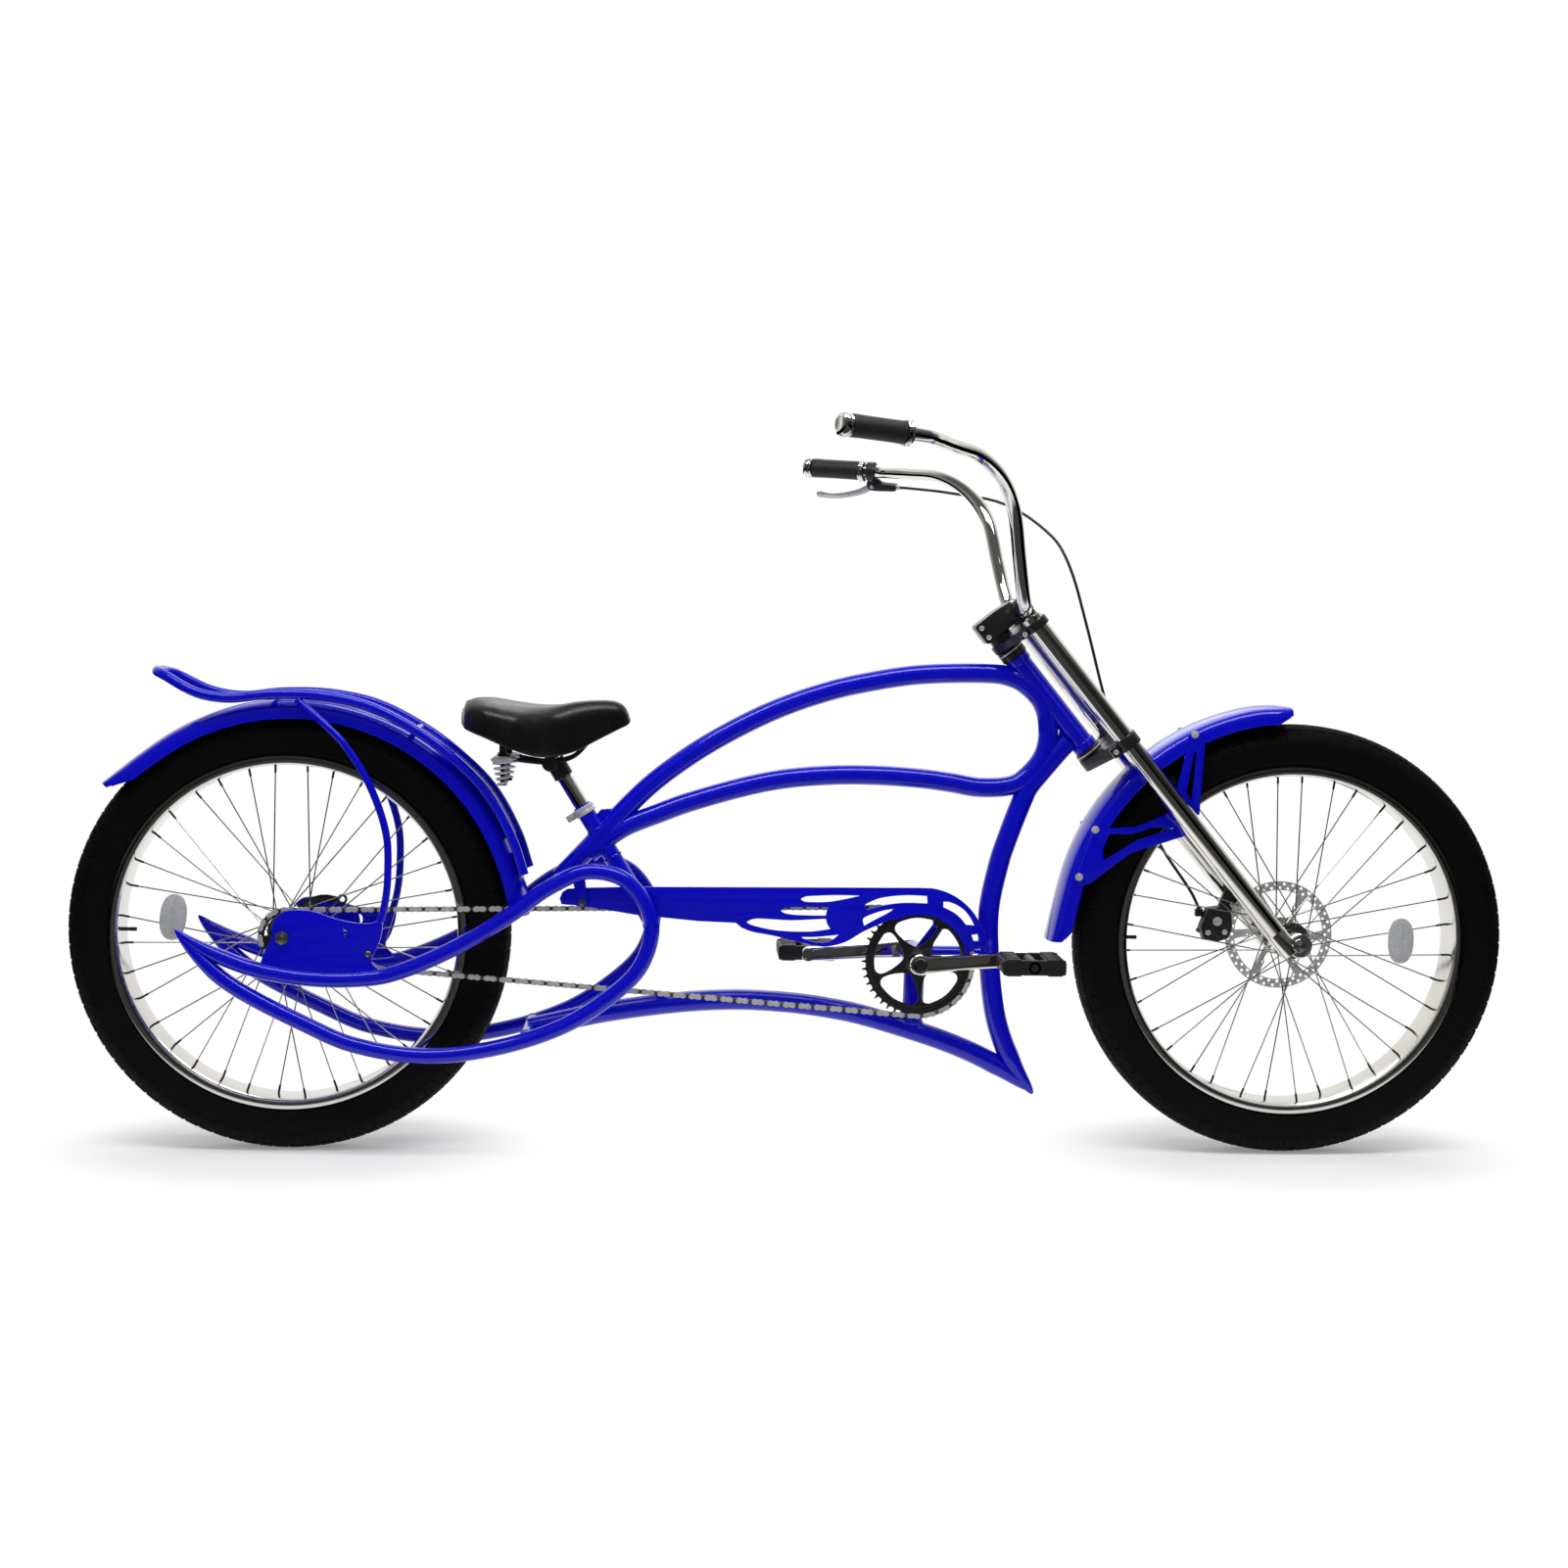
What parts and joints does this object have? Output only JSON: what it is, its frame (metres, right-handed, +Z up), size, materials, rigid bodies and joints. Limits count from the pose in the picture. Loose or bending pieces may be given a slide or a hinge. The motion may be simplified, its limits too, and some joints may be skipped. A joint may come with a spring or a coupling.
{
  "type": "stretch cruiser bicycle",
  "caption": "Long low cruiser bicycle with swept tube frame, raked chrome fork, fat tyres, high handlebar, sprung saddle, rear carrier, chain guard and hub brake.",
  "frame": {"origin": "where the rear tyre meets the ground, on the middle plane", "axes": "+X from the rear wheel to the front wheel, +Y to the rider's left, +Z up"},
  "size_m": [2.341, 0.931, 1.1652],
  "materials": {
    "frame_paint": "high gloss royal blue",
    "chrome": "polished",
    "steel": "satin",
    "black_metal": "satin black",
    "alloy": "satin",
    "tyre": "matte",
    "inner_tube": "matte",
    "black_plastic": "matte",
    "vinyl": "glossy black vinyl",
    "cable": "smooth black sleeve"
  },
  "bodies": {
    "frame": {"top_loop": "frame_paint", "down_tube": "frame_paint", "lower_tube": "frame_paint", "seat_tube": "frame_paint", "head_tube": "frame_paint", "bottom_bracket_shell": "frame_paint", "bottom_bracket_cartridge": "steel", "rear_loop_right": "frame_paint", "rear_loop_left": "frame_paint", "dropout_right": "frame_paint", "dropout_left": "frame_paint", "rear_fender": "frame_paint", "rack": "frame_paint", "chain_guard": "frame_paint", "chain": "steel", "headset_upper": "black_metal", "headset_lower": "black_metal", "seat_clamp": "steel", "rear_axle": "steel", "coaster_arm": "steel"},
    "steering": {"fork_leg_right": "chrome", "fork_leg_left": "chrome", "crown_lower": "black_metal", "crown_upper": "black_metal", "steerer": "steel", "stem": "black_metal", "handlebar": "chrome", "grip_right": "black_plastic", "grip_left": "black_plastic", "grip_cap_right": "chrome", "grip_cap_left": "chrome", "lever_perch": "black_metal", "brake_cable": "cable", "front_fender": "frame_paint", "caliper": "black_metal", "front_axle": "steel"},
    "front_wheel": {"front_tyre": "tyre", "front_inner_tube": "inner_tube", "front_rim": "alloy", "front_hub": "chrome", "brake_rotor": "steel"},
    "rear_wheel": {"rear_tyre": "tyre", "rear_inner_tube": "inner_tube", "rear_rim": "alloy", "rear_hub": "black_metal"},
    "sprocket": {"rear_sprocket": "black_metal"},
    "cranks": {"chainring": "black_metal", "crank_spindle": "steel", "crank_right": "chrome", "crank_left": "chrome"},
    "right_pedal": {"pedal_right": "black_plastic"},
    "left_pedal": {"pedal_left": "black_plastic"},
    "lever": {"brake_lever": "alloy"},
    "brake_arm": {"caliper_arm": "steel"},
    "seat": {"seat_post": "chrome", "saddle": "vinyl", "saddle_frame": "black_metal", "saddle_spring_right": "black_metal", "saddle_spring_left": "black_metal"}
  },
  "joints": [
    {"name": "steering_turn", "type": "hinge", "parent": "frame", "child": "steering", "pos_m": [1.2321, 0, 0.7395], "axis": [-0.6307, 0, 0.776], "range_deg": [-50, 50]},
    {"name": "front_wheel_spin", "type": "hinge", "parent": "steering", "child": "front_wheel", "pos_m": [1.631, 0, 0.355], "axis": [0, 1, 0], "continuous": true},
    {"name": "rear_wheel_spin", "type": "hinge", "parent": "frame", "child": "rear_wheel", "pos_m": [0, 0, 0.355], "axis": [0, 1, 0], "continuous": true},
    {"name": "crank_spin", "type": "hinge", "parent": "frame", "child": "cranks", "pos_m": [1.015, 0, 0.32], "axis": [0, 1, 0], "continuous": true},
    {"name": "sprocket_spin", "type": "hinge", "parent": "frame", "child": "sprocket", "pos_m": [0, 0, 0.355], "axis": [0, 1, 0], "continuous": true},
    {"name": "right_pedal_spin", "type": "hinge", "parent": "cranks", "child": "right_pedal", "pos_m": [1.18463, -0.146, 0.33127], "axis": [0, 1, 0], "continuous": true},
    {"name": "left_pedal_spin", "type": "hinge", "parent": "cranks", "child": "left_pedal", "pos_m": [0.84537, 0.146, 0.30873], "axis": [0, 1, 0], "continuous": true},
    {"name": "lever_pull", "type": "hinge", "parent": "steering", "child": "lever", "pos_m": [0.9671, 0.4083, 1.1129], "axis": [0.3998, 0.8153, 0.4189], "range_deg": [0, 12], "stiffness_Nm_per_rad": 2},
    {"name": "arm_pull", "type": "hinge", "parent": "steering", "child": "brake_arm", "pos_m": [1.523, 0.0598, 0.373], "axis": [0, 1, 0], "range_deg": [0, 18]},
    {"name": "seat_height", "type": "slide", "parent": "frame", "child": "seat", "axis": [-0.5225, 0, 0.8526], "range_m": [-0.03, 0.07]}
  ],
  "couplings": [
    {"joint": "sprocket_spin", "follows": "crank_spin", "ratio": 2.2},
    {"joint": "arm_pull", "follows": "lever_pull", "ratio": 1.5}
  ]
}
